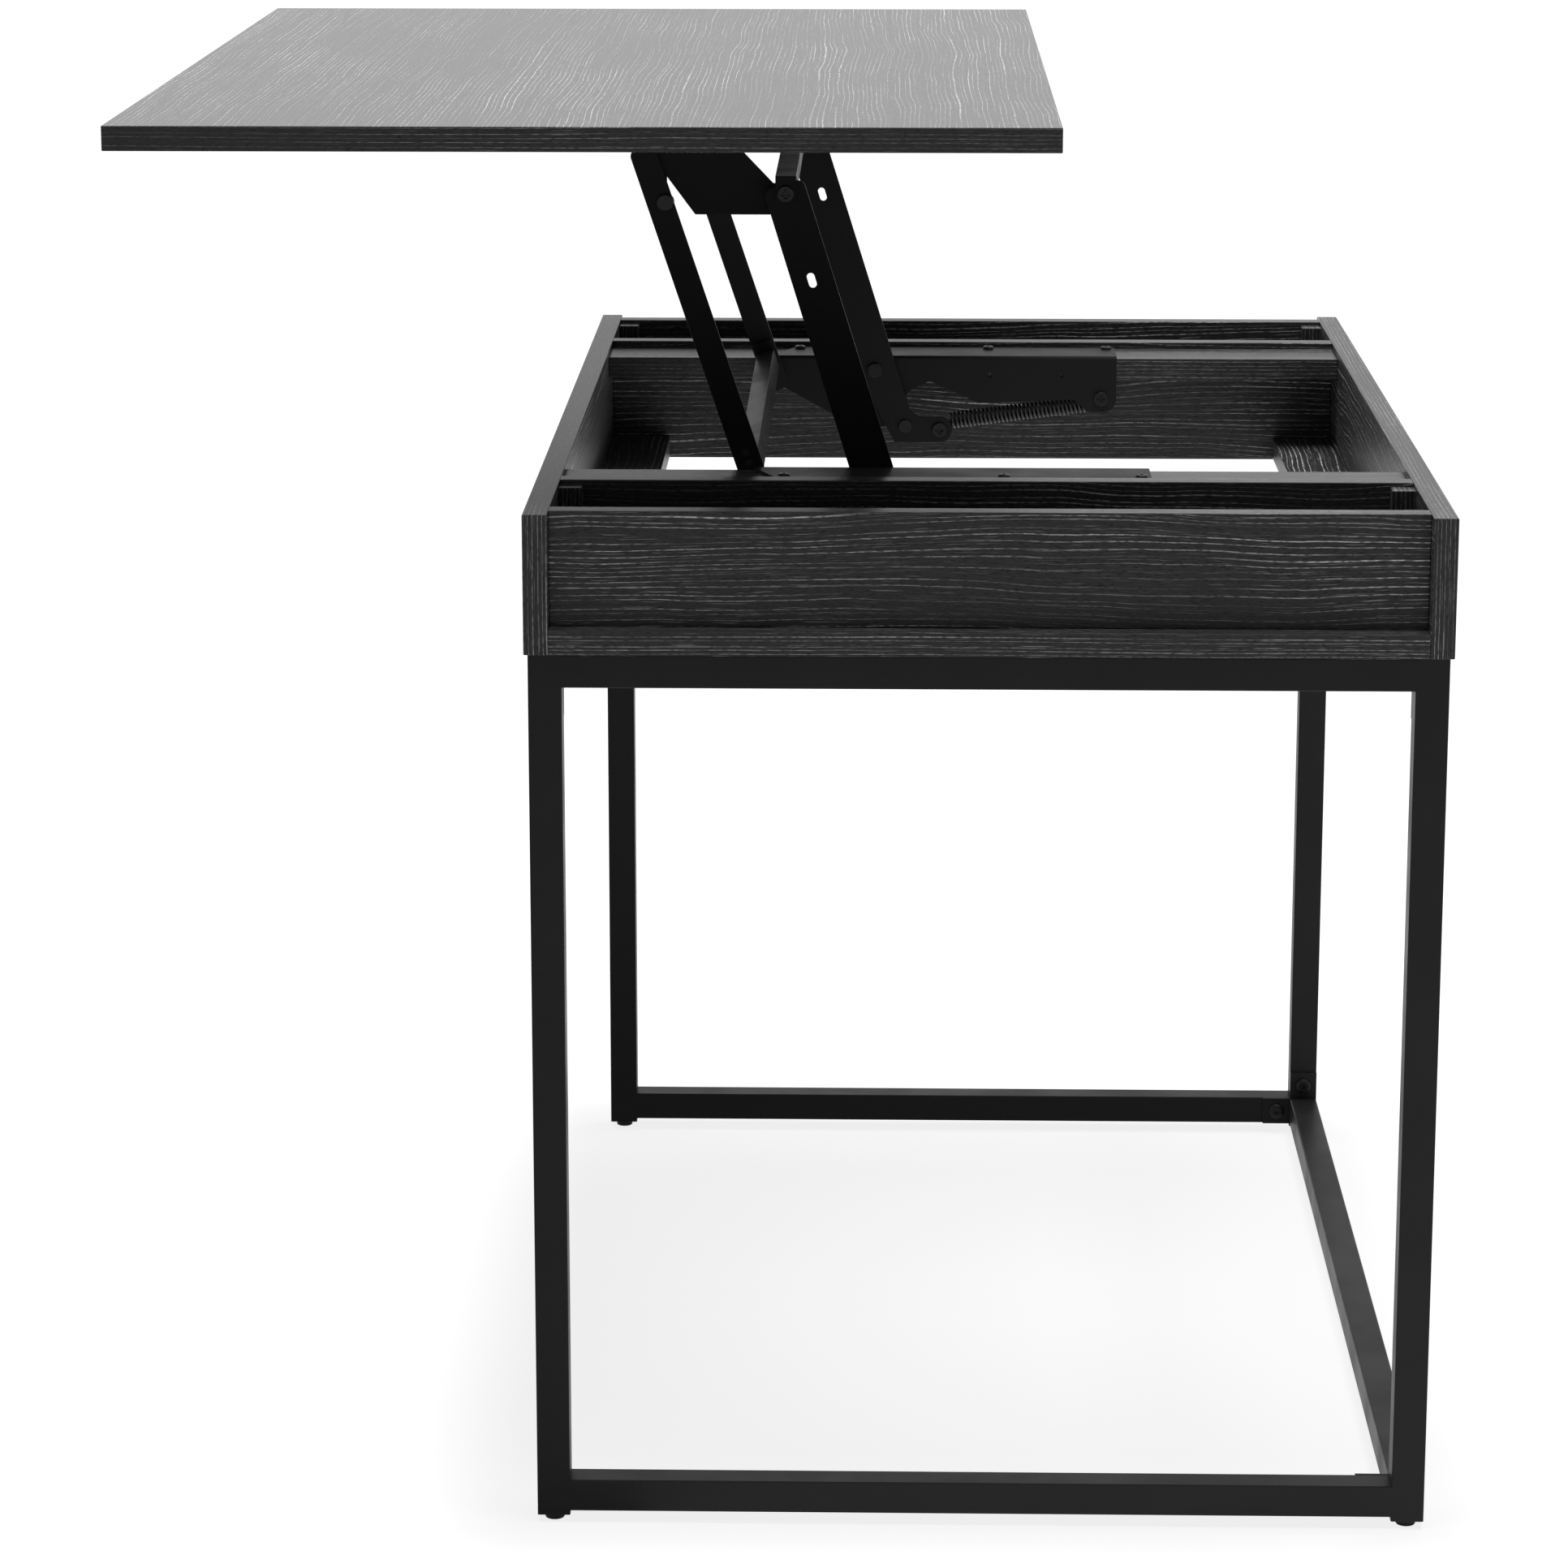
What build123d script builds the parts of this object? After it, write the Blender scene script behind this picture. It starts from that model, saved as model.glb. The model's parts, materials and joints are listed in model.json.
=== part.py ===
from build123d import *
import math
import os

# Box, in millimetres. X runs across the table, from the user's side (-X, front) to the rear.
# Y runs along its length, from the near end (-Y) to the far end. Z is up from the floor.
box_length = 915.0
box_width = 600.0
box_height = 92.0
box_top = 689.0
board = 16.0
apron_setback = 15.0
inner_board_setback = 131.5
mechanism_rail_width = 54.5
mechanism_rail_drop = 4.9
batten_side = 15.5
batten_drop = 2.7
side_bottom_width = 45.0

# Lid, and how far it moves from closed to raised.
lid_overhang = 3.0
lid_thickness = 16.0
lid_rise = 232.0
lid_shift = 259.2
lid_closed_gap = 0.4

# Frame of square tube under the box.
tube = 22.0
tube_wall = 1.5
tube_corner = 1.2
frame_inset = 2.5
foot_height = 5.3
foot_radius = 6.6
foot_edge = 1.0
foot_plug_length = 14.0
lower_rail_lift = 2.9
corner_plate = 2.0
corner_plate_tab = 22.5
frame_bolt_radius = 3.0
frame_bolt_head_radius = 6.4
frame_bolt_head = 3.0
frame_bolt_dome = 2.4
frame_bolt_key = 4.0
frame_bolt_key_depth = 1.8

# Screws that hold the box on the frame. Their heads sit inside each end's top rail.
box_screw_radius = 2.5
box_screw_head_radius = 5.0
box_screw_head = 2.0
box_screw_access = 6.0
box_screw_bite = 11.0
box_screw_spacing = 420.0

# Sheet metal and layers of the lift mechanism, counted inwards from the rail's inner edge.
bracket_sheet = 2.0
bend_radius = 3.0
arm_sheet = 2.5
wide_arm_gap = 3.2
narrow_arm_gap = 3.0
top_bracket_gap = 0.6
running_clearance = 0.05
open_pivot_clearance = 0.3
side_clearance = 0.1

# Pivots: the wide arm's upper pivot below the lid, and the lean of the raised arms.
upper_pivot_x = -134.9
upper_pivot_drop = 50.2
arm_lean = 0.30
narrow_pivot_back = 81.4
narrow_pivot_drop = 6.8
pivot_radius = 3.0
pivot_head_radius = 5.6
pivot_head = 2.0
pivot_nut_radius = 4.8
spacer_radius = 5.5
cross_slot_width = 1.6
cross_slot_depth = 1.3

# Wide arm.
wide_half_top = 14.0
wide_left_low = 12.0
wide_right_low = 16.8
wide_arm_top_margin = 6.3
wide_arm_corner = 5.0
ear_stud_x = 50.5
ear_stud_z = -46.8
ear_radius = 10.0
ear_corner = 9.5
ear_throat_radius = 13.0
tail_corner = 5.0
tail_clearance = 1.2
slot_length = 10.5
slot_width = 5.4
slot_along = 0.70
stop_rivet_x = 24.0
stop_rivet_z = -44.0
stop_rivet_radius = 5.2
stop_rivet_head = 1.4

# Narrow arm.
narrow_half = 9.0
narrow_offset = 3.4
narrow_tail_low = 10.0
narrow_tail_high = 40.0
narrow_low_corner = 8.0
narrow_end_corner = 5.0

# Cross bars of angle section, one on the narrow arms and one over the wide arms' tops.
bar_leg = 14.0
bar_wall = 2.0
lower_bar_rise = 22.0
bar_screw_radius = 1.6
bar_screw_head_radius = 2.8
bar_screw_head = 0.9
bar_screw_pitch = 8.0
upper_bar_leg_start = 8.0
upper_bar_tab_drop = 6.3

# Base bracket.
bracket_front_reach = 81.7
bracket_rear_reach = 188.3
flange_width = 48.0
flange_front_slant = 19.0
bracket_lobe = 10.5
bracket_lobe_corner = 9.4
bracket_throat_corner = 5.0
bracket_throat_run = 21.0
bracket_throat_drop = 0.8
bracket_window_corner = 6.0
bracket_nose_rise = 5.8
bracket_nose_corner = 3.0
bracket_hole_radius = 1.8
bracket_hole_drop = 15.0
bracket_hole_middle = 89.6
bracket_hole_rear = 42.8
bracket_screw_front = 22.8
bracket_screw_middle = 89.0
bracket_screw_rear = 6.9
bracket_screw_inset = 8.0
wood_screw_radius = 2.0
wood_screw_head_radius = 4.2
wood_screw_head = 2.2
wood_screw_dome = 1.5
wood_screw_bite = 10.0

# Lower edge of the base bracket as (x, z, corner radius) from the wide arm's lower pivot:
# the hump over the arm's ear, the lobe under the pivot and the slant to the front.
bracket_lower_edge = (
    (81.2, -26.7, 10.0),
    (55.0, -14.6, 6.0),
    (42.6, -9.3, 3.0),
    (27.0, -17.3, 3.0),
    (8.0, -46.0, 9.0),
    (-14.0, -46.0, 9.0),
    (-75.7, -11.8, 4.0),
)

# Springs.
rear_bolt_setback = 11.9
rear_bolt_z = -22.8
spring_radius = 7.0
spring_wire = 1.0
spring_pitch = 3.3
spring_back = 0.6
spring_hook_reach = 9.0
hook_clearance = 0.3

# Top bracket.
top_flange_width = 28.0
top_lobe_radius = 6.0
top_bracket_corner = 1.0
top_bracket_shoulder = 3.0
top_bracket_ear_width = 7.2
top_bracket_depth = 15.2
top_bracket_slant_foot = 8.6
top_bracket_slant_height = 26.6
top_bracket_slant_width = 28.4
top_bracket_heel = 61.3
top_bracket_notch = 10.2
top_bracket_front = 12.0
top_screws = (0.22, 0.78)

# Places worked out from the sizes above, with X = 0 at the middle of the box.
half_length = box_length / 2
half_width = box_width / 2
box_bottom = box_top - box_height
rail_top = box_top - mechanism_rail_drop
rail_bottom = rail_top - board
inner_board_in = half_length - inner_board_setback - board
rail_in = inner_board_in - mechanism_rail_width
frame_half_x = half_width - frame_inset
frame_half_y = half_length - frame_inset
lid_length = box_length + 2 * lid_overhang
lid_width = box_width + 2 * lid_overhang
lid_under = box_top + lid_closed_gap + lid_rise
leg_bottom = foot_height
lower_rail_bottom = leg_bottom + lower_rail_lift

# The part's origin is on the floor at the middle of its whole box, lid raised.
box_centre_x = (lid_shift + lid_width / 2 - half_width) / 2

# Both arms are links of one parallelogram, so the lower pivot follows from where the lid has to land.
travel_squared = lid_shift ** 2 + lid_rise ** 2
arm_rise = travel_squared / 2 / (lid_rise + arm_lean * lid_shift)
arm_run = -arm_lean * arm_rise
arm_length = math.hypot(arm_run, arm_rise)
raised_angle = math.degrees(math.atan2(arm_rise, arm_run))
closed_angle = math.degrees(math.atan2(arm_rise - lid_rise, arm_run + lid_shift))
closing = raised_angle - closed_angle

upper_wide = Vector(upper_pivot_x, 0, lid_under - upper_pivot_drop)
lower_wide = upper_wide - Vector(arm_run, 0, arm_rise)
upper_narrow = upper_wide - Vector(narrow_pivot_back, 0, narrow_pivot_drop)
lower_narrow = lower_wide - Vector(narrow_pivot_back, 0, narrow_pivot_drop)
ear_stud = lower_wide + Vector(ear_stud_x, 0, ear_stud_z)
rear_bolt = lower_wide + Vector(bracket_rear_reach - rear_bolt_setback, 0, rear_bolt_z)
arm_dir = Vector(arm_run, 0, arm_rise) * (1 / arm_length)
arm_side = Vector(arm_dir.Z, 0, -arm_dir.X)

# Layers of the near mechanism as (outer, inner) distances from the middle of the table.
bracket_layer = (rail_in, rail_in - bracket_sheet)
wide_out = bracket_layer[1] - wide_arm_gap
wide_layer = (wide_out, wide_out - arm_sheet)
narrow_out = wide_layer[1] - narrow_arm_gap
narrow_layer = (narrow_out, narrow_out - arm_sheet)
top_out = narrow_layer[1] - top_bracket_gap
top_layer = (top_out, top_out - bracket_sheet)
spring_plane = bracket_layer[0] + spring_back + spring_radius


def block(x_range, y_range, z_range):
    """A board or plate between two faces in each direction."""
    size = [high - low for low, high in (x_range, y_range, z_range)]
    middle = [(high + low) / 2 for low, high in (x_range, y_range, z_range)]
    return Pos(*middle) * Box(*size)


def plate(face, layer):
    """A sheet cut to a face drawn in X and Z, lying in one layer of the near mechanism."""
    outer, inner = layer
    plane = Plane(origin=(0, -inner, 0), x_dir=(1, 0, 0), z_dir=(0, -1, 0))
    return extrude(plane * face, amount=outer - inner)


def outline(corners):
    """A closed face from (point, radius) corners, with points given in X and Z."""
    points = [(point.X, point.Z) for point, radius in corners]
    radii = [radius for point, radius in corners]
    return make_face(FilletPolyline(*points, radius=radii, close=True))


def at(x, z):
    return Vector(x, 0, z)


def rod(centre, radius, layer):
    """A round pin along Y through a point given in X and Z."""
    outer, inner = layer
    middle = Pos(centre.X, -(outer + inner) / 2, centre.Z)
    return middle * Rot(X=90) * Cylinder(radius, abs(outer - inner))


def upright(x, y, z_range, radius):
    """A round pin along Z."""
    low, high = z_range
    return Pos(x, y, (low + high) / 2) * Cylinder(radius, high - low)


def far(shape):
    """The same piece at the far end of the table."""
    return mirror(shape, about=Plane.XZ)


def both_ends(shape):
    return [shape, far(shape)]


def cross_slot(length):
    """Two crossed slots for a screw head that faces along Z."""
    slot = Box(length, cross_slot_width, 2 * cross_slot_depth)
    return slot + slot.rotate(Axis.Z, 90)


def cross_recess(centre, face_y):
    """The cross slot of a bolt head that faces along Y."""
    return Pos(centre.X, face_y, centre.Z) * Rot(X=90) * cross_slot(pivot_head_radius)


def save(name, *shapes):
    """One node: its solids, moved into the part's own frame."""
    solids = [solid for shape in shapes for solid in shape.solids()]
    node = Compound(children=[Pos(box_centre_x, 0, 0) * solid for solid in solids])
    export_step(node, os.path.join("parts", name + ".step"))


# Box


def side_panel(side):
    inner, outer = sorted((side * half_width, side * (half_width - board)))
    return block((inner, outer), (-half_length, half_length), (box_bottom, box_top))


inside_half = half_width - board


def cross_board(y_low, thickness, z_range):
    return block((-inside_half, inside_half), (y_low, y_low + thickness), z_range)


def end_apron():
    return cross_board(-half_length + apron_setback, board, (box_bottom + board, box_top))


def box_screw_points():
    y = -frame_half_y + tube / 2
    return [(side * box_screw_spacing / 2, y) for side in (-1, 1)]


def box_screw(x, y):
    """Its head is under the tube's upper wall, reached through a wider hole in the lower one."""
    seat = box_bottom - tube_wall
    head = upright(x, y, (seat - box_screw_head, seat), box_screw_head_radius)
    shank = upright(x, y, (seat, box_bottom + box_screw_bite), box_screw_radius)
    return head + shank


def end_bottom():
    floor_board = cross_board(-half_length, inner_board_setback, (box_bottom, box_bottom + board))
    for x, y in box_screw_points():
        floor_board -= upright(x, y, (box_bottom, box_bottom + box_screw_bite), box_screw_radius)
    return floor_board


def inner_board():
    return cross_board(-inner_board_in - board, board, (box_bottom, box_top))


def bracket_span():
    return lower_wide.X - bracket_front_reach, lower_wide.X + bracket_rear_reach


def bracket_screw_points():
    y = -rail_in - flange_width + bracket_sheet + bracket_screw_inset
    left, right = bracket_span()
    middle = lower_wide.X + bracket_screw_middle
    return [(x, y) for x in (left + bracket_screw_front, middle, right - bracket_screw_rear)]


def mechanism_rail():
    rail = cross_board(-inner_board_in, mechanism_rail_width, (rail_bottom, rail_top))
    for x, y in bracket_screw_points():
        rail -= upright(x, y, (rail_top - wood_screw_bite, rail_top), wood_screw_radius)
    return rail


def side_bottom(side):
    inner, outer = sorted((side * inside_half, side * (inside_half - side_bottom_width)))
    return block((inner, outer), (-inner_board_in, inner_board_in), (box_bottom, box_bottom + board))


def corner_battens():
    z_range = (box_bottom + board, box_top - batten_drop)
    first = -half_length + apron_setback + board
    last = -inner_board_in - board
    pieces = []
    for side in (-1, 1):
        x_range = sorted((side * inside_half, side * (inside_half - batten_side)))
        for y_range in ((first, first + batten_side), (last - batten_side, last)):
            pieces += both_ends(block(x_range, y_range, z_range))
    return pieces


# Frame


def round_tube_edges(bar, axis):
    return fillet(bar.edges().filter_by(axis), tube_corner)


def hollow(x_range, y_range, z_range, axis):
    """Square tube along one axis, open at both ends."""
    ranges = [x_range, y_range, z_range]
    inner = [(low + tube_wall, high - tube_wall) for low, high in ranges]
    inner["XYZ".index(axis)] = ranges["XYZ".index(axis)]
    lengthwise = {"X": Axis.X, "Y": Axis.Y, "Z": Axis.Z}[axis]
    return round_tube_edges(block(*ranges), lengthwise) - block(*inner)


def leg_ranges(side):
    x_range = tuple(sorted((side * frame_half_x, side * (frame_half_x - tube))))
    return x_range, (-frame_half_y, -frame_half_y + tube)


def long_rails():
    """Side, underside and upright tab's direction of each long rail. The user's side has no lower rail."""
    top = box_bottom - tube
    return {
        "front_top_rail": (-1, top, -1),
        "rear_top_rail": (1, top, -1),
        "rear_lower_rail": (1, lower_rail_bottom, 1),
    }


def long_rail(side, low):
    x_range, y_range = leg_ranges(side)
    reach = frame_half_y - tube - corner_plate
    return hollow(x_range, (-reach, reach), (low, low + tube), "Y")


def corner_plate_near(side, low, upright_tab):
    """The welded plate on a long rail's near end: one tab on the leg, one on the end rail."""
    face = -frame_half_y + tube
    y_range = (face, face + corner_plate)
    x_range, _ = leg_ranges(side)
    inward = sorted((side * frame_half_x, side * (frame_half_x - tube - corner_plate_tab)))
    leg_end = low + tube + corner_plate_tab if upright_tab > 0 else low - corner_plate_tab
    upward = sorted((leg_end, low + tube if upright_tab < 0 else low))
    shape = block(inward, y_range, (low, low + tube)) + block(x_range, y_range, upward)
    for bolt in frame_bolt_points(side, low, upright_tab):
        shape -= rod(bolt, frame_bolt_radius, (-y_range[0], -y_range[1]))
    return shape


def frame_bolt_points(side, low, upright_tab):
    x_range, _ = leg_ranges(side)
    leg_x = sum(x_range) / 2
    rail_x = leg_x - side * (tube + corner_plate_tab) / 2
    leg_z = low + tube / 2 + upright_tab * (tube + corner_plate_tab) / 2
    return [at(leg_x, leg_z), at(rail_x, low + tube / 2)]


def frame_bolt(point):
    """Button head with a hexagon socket, and a shank through the tube's inner wall."""
    face = frame_half_y - tube - corner_plate
    head = rod(point, frame_bolt_head_radius, (face, face - frame_bolt_head))
    head = fillet(head.edges().filter_by(GeomType.CIRCLE).sort_by(Axis.Y)[-1], frame_bolt_dome)
    key = Plane(origin=(point.X, -face + frame_bolt_head, point.Z), x_dir=(1, 0, 0), z_dir=(0, 1, 0))
    hexagon = RegularPolygon(frame_bolt_key / 2, 6, major_radius=False)
    socket = extrude(key * hexagon, amount=-frame_bolt_key_depth)
    shank = rod(point, frame_bolt_radius, (face, face + corner_plate + tube_wall))
    return head - socket + shank


def all_bolt_points():
    return [point for rail in long_rails().values() for point in frame_bolt_points(*rail)]


def bolt_holes():
    face = frame_half_y - tube
    return [rod(point, frame_bolt_radius, (face, face + tube_wall)) for point in all_bolt_points()]


def weld_fill(side, low):
    """Weld ground flush on a leg's two rounded edges, where an end rail meets it."""
    inner = side * (frame_half_x - tube)
    x_range = sorted((inner, inner + side * tube_corner))
    z_range = (low + tube_corner, low + tube - tube_corner)
    first, last = leg_ranges(side)[1]
    near_edge = block(x_range, (first, first + tube_corner), z_range)
    return near_edge + block(x_range, (last - tube_corner, last), z_range)


def leg(side):
    x_range, y_range = leg_ranges(side)
    post = hollow(x_range, y_range, (leg_bottom, box_bottom), "Z")
    for low in (lower_rail_bottom, box_bottom - tube):
        post += weld_fill(side, low)
    return post - bolt_holes()


def end_rail(low):
    reach = frame_half_x - tube
    bar = hollow((-reach, reach), (-frame_half_y, -frame_half_y + tube), (low, low + tube), "X")
    bar -= bolt_holes()
    under = box_bottom - tube
    for x, y in box_screw_points():
        bar -= upright(x, y, (box_bottom - tube_wall, box_bottom), box_screw_radius)
        bar -= upright(x, y, (under, under + tube_wall), box_screw_access)
    return bar


def foot(side):
    x_range, y_range = leg_ranges(side)
    x, y = sum(x_range) / 2, sum(y_range) / 2
    pad = upright(x, y, (0, foot_height), foot_radius)
    pad = fillet(pad.edges().group_by(Axis.Z)[0], foot_edge)
    inside = [(low + tube_wall, high - tube_wall) for low, high in (x_range, y_range)]
    return pad + block(*inside, (foot_height, foot_height + foot_plug_length))


# Lift mechanism, drawn at the near end


def headed_pin(centre, head_radius, head_layer, shank_radius, shank_layer):
    return rod(centre, head_radius, head_layer) + rod(centre, shank_radius, shank_layer)


def stepped(layer, thickness):
    """The next layer inwards from one, with a running gap between them."""
    start = layer[1] - side_clearance
    return start, start - thickness


def base_bracket():
    """Flange on the mechanism rail and a plate hanging at the rail's inner edge."""
    a = lower_wide
    flange_top = rail_top + bracket_sheet
    left, right = bracket_span()
    low = rear_bolt.Z - bracket_lobe
    corners = [
        (at(left, flange_top), 0),
        (at(right, flange_top), 0),
        (at(right, low), bracket_lobe_corner),
        (at(rear_bolt.X - bracket_lobe, low), bracket_throat_corner),
        (rear_bolt - at(bracket_throat_run, bracket_throat_drop), bracket_window_corner),
    ]
    corners += [(a + at(x, z), radius) for x, z, radius in bracket_lower_edge]
    nose = a.Z + bracket_lower_edge[-1][1] + bracket_nose_rise
    corners.append((at(left, nose), bracket_nose_corner))
    hanging = plate(outline(corners), bracket_layer)
    outer_y = -rail_in - flange_width + bracket_sheet
    inner_y = -bracket_layer[1]
    top_face = make_face(
        Polyline(
            (left, inner_y),
            (right, inner_y),
            (right, outer_y),
            (left + flange_front_slant, outer_y),
            close=True,
        )
    )
    flange = extrude(Pos(0, 0, rail_top) * top_face, amount=bracket_sheet)
    shape = hanging + flange
    bend = [e for e in shape.edges().filter_by(Axis.X) if is_bend(e, inner_y, flange_top)]
    shape = fillet(bend, bend_radius)
    for pivot in (lower_wide, lower_narrow):
        shape -= rod(pivot, pivot_radius, bracket_layer)
    shape -= rod(rear_bolt, pivot_radius, bracket_layer)
    for x in (a.X + bracket_hole_middle, right - bracket_hole_rear):
        hole = at(x, flange_top - bracket_hole_drop)
        shape -= rod(hole, bracket_hole_radius, bracket_layer)
    for x, y in bracket_screw_points():
        shape -= upright(x, y, (rail_top, flange_top), wood_screw_radius)
    return shape


def is_bend(edge, y, z):
    centre = edge.center()
    return abs(centre.Y - y) < 0.01 and abs(centre.Z - z) < 0.01


def wood_screw(x, y):
    seat = rail_top + bracket_sheet
    head = upright(x, y, (seat, seat + wood_screw_head), wood_screw_head_radius)
    head = fillet(head.edges().group_by(Axis.Z)[-1], wood_screw_dome)
    head -= Pos(x, y, seat + wood_screw_head) * cross_slot(wood_screw_head_radius)
    return head + upright(x, y, (rail_top - wood_screw_bite, seat), wood_screw_radius)


def lower_pin(pivot, arm_layer):
    """Riveted flush in the base bracket, with its head on the arm's inner face."""
    head_layer = stepped(arm_layer, pivot_head)
    shank = (bracket_layer[0], head_layer[0])
    return headed_pin(pivot, pivot_head_radius, head_layer, pivot_radius, shank)


def wide_pivot_pin():
    return lower_pin(lower_wide, wide_layer)


def narrow_pivot_pin():
    return lower_pin(lower_narrow, narrow_layer)


def lower_spacer(pivot, arm_layer):
    """A ring on a lower pivot pin, from the bracket to just short of the arm."""
    layer = (bracket_layer[1], arm_layer[0] + side_clearance)
    return rod(pivot, spacer_radius, layer) - rod(pivot, pivot_radius, layer)


def closed_lid_space():
    """The space above the closed lid's underside, turned back into the raised arm's frame."""
    reach = 2 * arm_length
    above = Pos(lower_wide.X, 0, box_top - tail_clearance + reach / 2) * Box(2 * reach, box_length, reach)
    pivot = Axis((lower_wide.X, 0, lower_wide.Z), (0, 1, 0))
    return above.rotate(pivot, -closing)


def wide_arm():
    a, c = lower_wide, upper_wide
    top = c + arm_dir * wide_arm_top_margin
    stud = ear_stud
    right_low = a + arm_side * wide_right_low
    right_top = top + arm_side * wide_half_top
    edge = (right_low - right_top).normalized()
    throat_z = stud.Z + ear_radius
    throat = right_low + edge * ((right_low.Z - throat_z) / -edge.Z)
    left_low = a - arm_side * wide_left_low
    tail_z = stud.Z - ear_radius
    left_edge = (left_low - (top - arm_side * wide_half_top)).normalized()
    tail = left_low + left_edge * ((left_low.Z - tail_z) / -left_edge.Z)
    corners = [
        (top - arm_side * wide_half_top, wide_arm_corner),
        (right_top, wide_arm_corner),
        (throat, ear_throat_radius),
        (at(stud.X + ear_radius, throat_z), ear_corner),
        (at(stud.X + ear_radius, tail_z), ear_corner),
        (tail, tail_corner),
    ]
    shape = plate(outline(corners), wide_layer) - closed_lid_space()
    shape -= rod(a, pivot_radius + running_clearance, wide_layer)
    shape -= rod(c, pivot_radius, wide_layer)
    shape -= rod(stud, pivot_radius, wide_layer)
    shape -= rod(stop_rivet_centre(), pivot_radius, wide_layer)
    centre = a + (c - a) * slot_along
    slot = Pos(centre.X, centre.Z) * Rot(Z=raised_angle) * SlotOverall(slot_length, slot_width)
    return shape - plate(slot, wide_layer)


def stop_rivet_centre():
    return lower_wide + at(stop_rivet_x, stop_rivet_z)


def stop_rivet():
    head_layer = (wide_layer[1], wide_layer[1] - stop_rivet_head)
    return headed_pin(stop_rivet_centre(), stop_rivet_radius, head_layer, pivot_radius, wide_layer)


def spring_front_stud():
    """Headed inside the wide arm's ear, and long enough to carry the spring behind the bracket."""
    head_layer = (wide_layer[1], wide_layer[1] - pivot_head)
    reach = spring_plane + spring_wire + hook_clearance
    stud = headed_pin(ear_stud, pivot_head_radius, head_layer, pivot_radius, (reach, wide_layer[1]))
    return stud - cross_recess(ear_stud, -head_layer[1])


def spring_rear_bolt():
    head_layer = (bracket_layer[1], bracket_layer[1] - pivot_head)
    reach = spring_plane + spring_wire + hook_clearance
    bolt = headed_pin(rear_bolt, pivot_head_radius, head_layer, pivot_radius, (reach, bracket_layer[1]))
    return bolt - cross_recess(rear_bolt, -head_layer[1])


def upper_bolt():
    """Through the cross bar's tab, the wide arm, its spacer and the top bracket."""
    tab_out = wide_layer[0] + bar_wall
    head_layer = (tab_out + pivot_head, tab_out)
    end = top_layer[1] - side_clearance - pivot_head
    bolt = headed_pin(upper_wide, pivot_head_radius, head_layer, pivot_radius, (tab_out, end))
    return bolt - cross_recess(upper_wide, -head_layer[0])


def upper_nut():
    layer = stepped(top_layer, pivot_head)
    ring = rod(upper_wide, pivot_nut_radius, layer)
    return ring - rod(upper_wide, pivot_radius, layer)


def upper_spacer():
    layer = (wide_layer[1], top_layer[0] + side_clearance)
    return rod(upper_wide, spacer_radius, layer) - rod(upper_wide, pivot_radius, layer)


def upper_cross_bar():
    """Angle over the wide arms' tops, with a tab bent down on each arm's outer face."""
    c = upper_wide
    seat = (c + arm_dir * wide_arm_top_margin + arm_side * wide_half_top).Z
    left, right = c.X - bar_leg / 2, c.X + bar_leg / 2
    tab_out = wide_layer[0] + bar_wall
    leg_in = top_layer[1] - upper_bar_leg_start
    flat = block((left, right), (-tab_out, tab_out), (seat, seat + bar_wall))
    hanging = block((right - bar_wall, right), (-leg_in, leg_in), (seat + bar_wall - bar_leg, seat))
    tab = block((left, right), (-tab_out, -wide_layer[0]), (c.Z - upper_bar_tab_drop, seat))
    tab -= rod(c, pivot_radius, (tab_out, wide_layer[0]))
    return flat + hanging + tab + far(tab)


narrow_start = lower_narrow + arm_side * narrow_offset
narrow_end = upper_narrow - arm_side * narrow_offset
narrow_dir = (narrow_end - narrow_start).normalized()
narrow_side = at(narrow_dir.Z, -narrow_dir.X)


def narrow_point(along, across):
    """A point on the narrow arm, counted along it from its lower pivot."""
    return narrow_start + narrow_dir * along + narrow_side * across


def narrow_arm():
    length = (narrow_end - narrow_start).length + narrow_tail_high
    corners = [
        (narrow_point(-narrow_tail_low, -narrow_half), narrow_low_corner),
        (narrow_point(length, -narrow_half), narrow_end_corner),
        (narrow_point(length, narrow_half), narrow_end_corner),
        (narrow_point(-narrow_tail_low, narrow_half), narrow_low_corner),
    ]
    shape = plate(outline(corners), narrow_layer)
    shape -= rod(lower_narrow, pivot_radius + running_clearance, narrow_layer)
    shape -= rod(upper_narrow, pivot_radius + open_pivot_clearance, narrow_layer)
    for point in lower_bar_screws():
        shape -= rod(point, bar_screw_radius, narrow_layer)
    return shape


def lower_bar_screws():
    first = lower_bar_rise - bar_wall - bar_screw_head_radius
    return [narrow_point(first, 0), narrow_point(first + bar_screw_pitch, 0)]


def lower_cross_bar():
    """Angle between the narrow arms, turned with them, with an end plate on each arm."""
    inner = narrow_layer[1]
    half = bar_leg / 2
    top = lower_bar_rise

    def strip(along, across, layer):
        corners = [
            (narrow_point(along[0], across[0]), 0),
            (narrow_point(along[1], across[0]), 0),
            (narrow_point(along[1], across[1]), 0),
            (narrow_point(along[0], across[1]), 0),
        ]
        return plate(outline(corners), layer)

    span = (inner - bar_wall, -inner + bar_wall)
    flat = strip((top - bar_wall, top), (-half, half), span)
    side = strip((top - bar_leg, top - bar_wall), (half - bar_wall, half), span)
    tab = strip((top - bar_leg + bar_wall, top + bar_screw_pitch), (-half, half), (inner, inner - bar_wall))
    for point in lower_bar_screws():
        tab -= rod(point, bar_screw_radius, (inner, inner - bar_wall))
    return flat + side + tab + far(tab)


def bar_screw(point):
    outer, inner = narrow_layer
    shank = (outer, inner - bar_wall)
    return headed_pin(point, bar_screw_head_radius, (outer + bar_screw_head, outer), bar_screw_radius, shank)


# Lid and its brackets


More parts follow.
